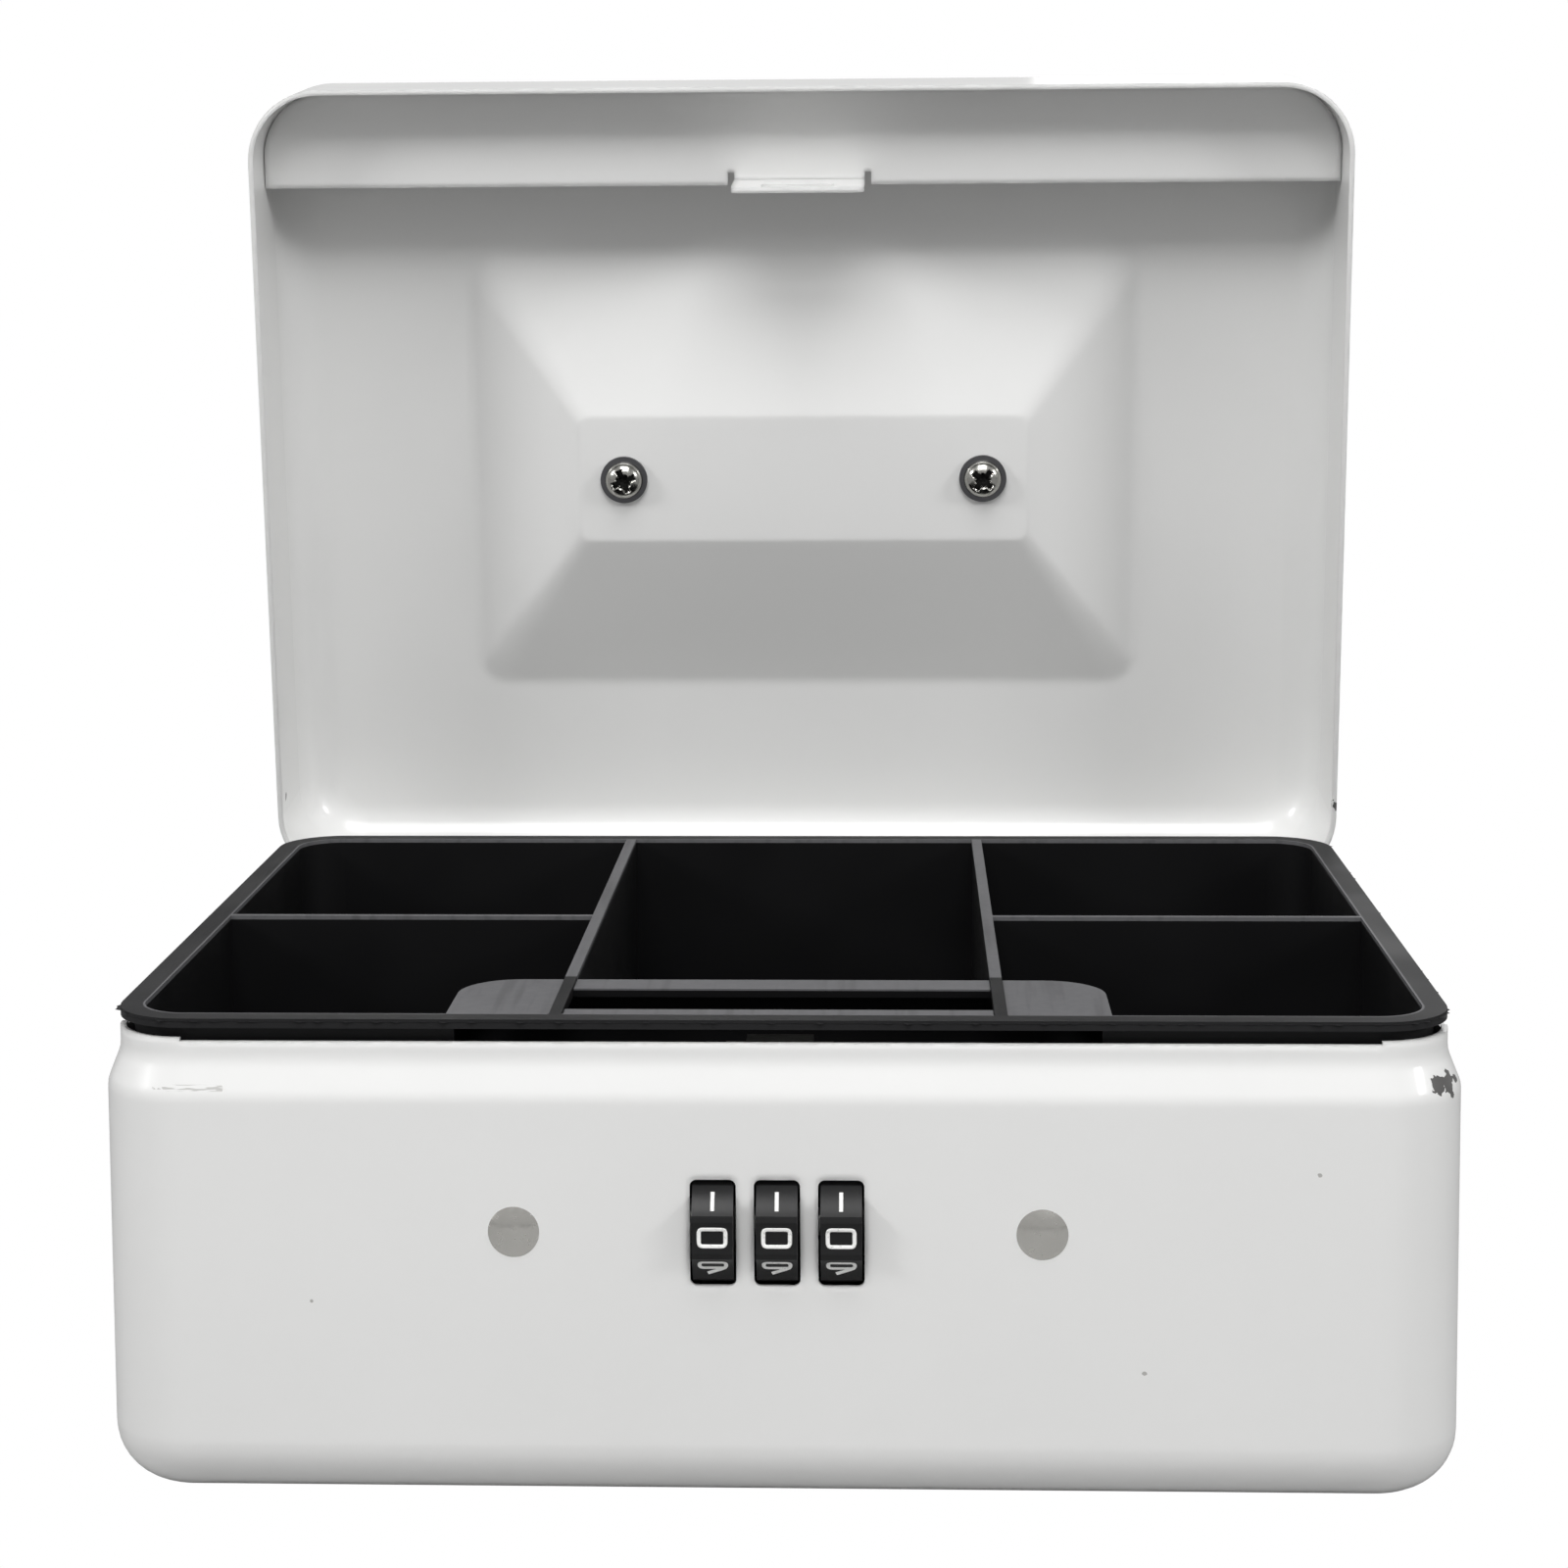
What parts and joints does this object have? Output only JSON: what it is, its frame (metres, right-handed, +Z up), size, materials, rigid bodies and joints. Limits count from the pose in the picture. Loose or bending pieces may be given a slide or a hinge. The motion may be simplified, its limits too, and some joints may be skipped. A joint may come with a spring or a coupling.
{
  "type": "cash box",
  "caption": "Portable steel cash box with a hinged lid, a lift-out coin tray, a folding bail handle and a dial combination lock.",
  "frame": {"origin": "centre of the body's flat underside, on the surface that the box stands on", "axes": "+Z up, +X to the right seen from the front, +Y to the back towards the hinge; the rest pose has the lid open"},
  "size_m": [0.2, 0.1754, 0.214],
  "materials": {
    "painted_steel": "white powder coat, satin",
    "black_plastic": "moulded, satin",
    "grey_plastic": "moulded",
    "zinc_steel": "zinc plated",
    "spring_steel": "bright",
    "nickel": "polished nickel plate",
    "dark_steel": "blackened",
    "chrome": "chrome plate"
  },
  "bodies": {
    "body": {"body_shell": "painted_steel", "hinge_leaf_body": "zinc_steel", "hinge_pin": "zinc_steel", "lock_case": "zinc_steel", "lock_cover": "zinc_steel", "dial_shaft": "zinc_steel", "lock_rivets": "nickel", "latch_guides": "zinc_steel", "latch_springs": "spring_steel", "detent_spring": "spring_steel"},
    "lid": {"lid_shell": "painted_steel", "hinge_leaf_lid": "zinc_steel", "lid_latch_plate": "painted_steel", "handle_post_left": "nickel", "handle_post_right": "nickel", "handle_screws": "nickel", "handle_washers": "dark_steel"},
    "bail": {"handle_bail": "chrome"},
    "tray": {"coin_tray": "black_plastic"},
    "latch": {"latch_bar": "zinc_steel"},
    "wheel_1": {"dial_1": "black_plastic", "code_ring_1": "grey_plastic"},
    "wheel_2": {"dial_2": "black_plastic", "code_ring_2": "grey_plastic"},
    "wheel_3": {"dial_3": "black_plastic", "code_ring_3": "grey_plastic"}
  },
  "joints": [
    {"name": "lid_hinge", "type": "hinge", "parent": "body", "child": "lid", "pos_m": [0, 0.073, 0.0649], "axis": [-1, 0, 0], "range_deg": [-83, 0]},
    {"name": "bail_fold", "type": "hinge", "parent": "lid", "child": "bail", "pos_m": [0, 0.08515, 0.13994], "axis": [1, 0, 0], "range_deg": [0, 172]},
    {"name": "tray_lift", "type": "slide", "parent": "body", "child": "tray", "axis": [0, 0, 1], "range_m": [0, 0.045]},
    {"name": "latch_slide", "type": "slide", "parent": "body", "child": "latch", "axis": [0, 1, 0], "range_m": [-0.002, 0], "stiffness_N_per_m": 400, "springref_m": 0.003, "deforming": ["latch_springs"]},
    {"name": "dial_1_spin", "type": "hinge", "parent": "body", "child": "wheel_1", "pos_m": [-0.0093, -0.069, 0.041], "axis": [1, 0, 0], "continuous": true},
    {"name": "dial_2_spin", "type": "hinge", "parent": "body", "child": "wheel_2", "pos_m": [0, -0.069, 0.041], "axis": [1, 0, 0], "continuous": true},
    {"name": "dial_3_spin", "type": "hinge", "parent": "body", "child": "wheel_3", "pos_m": [0.0093, -0.069, 0.041], "axis": [1, 0, 0], "continuous": true}
  ]
}
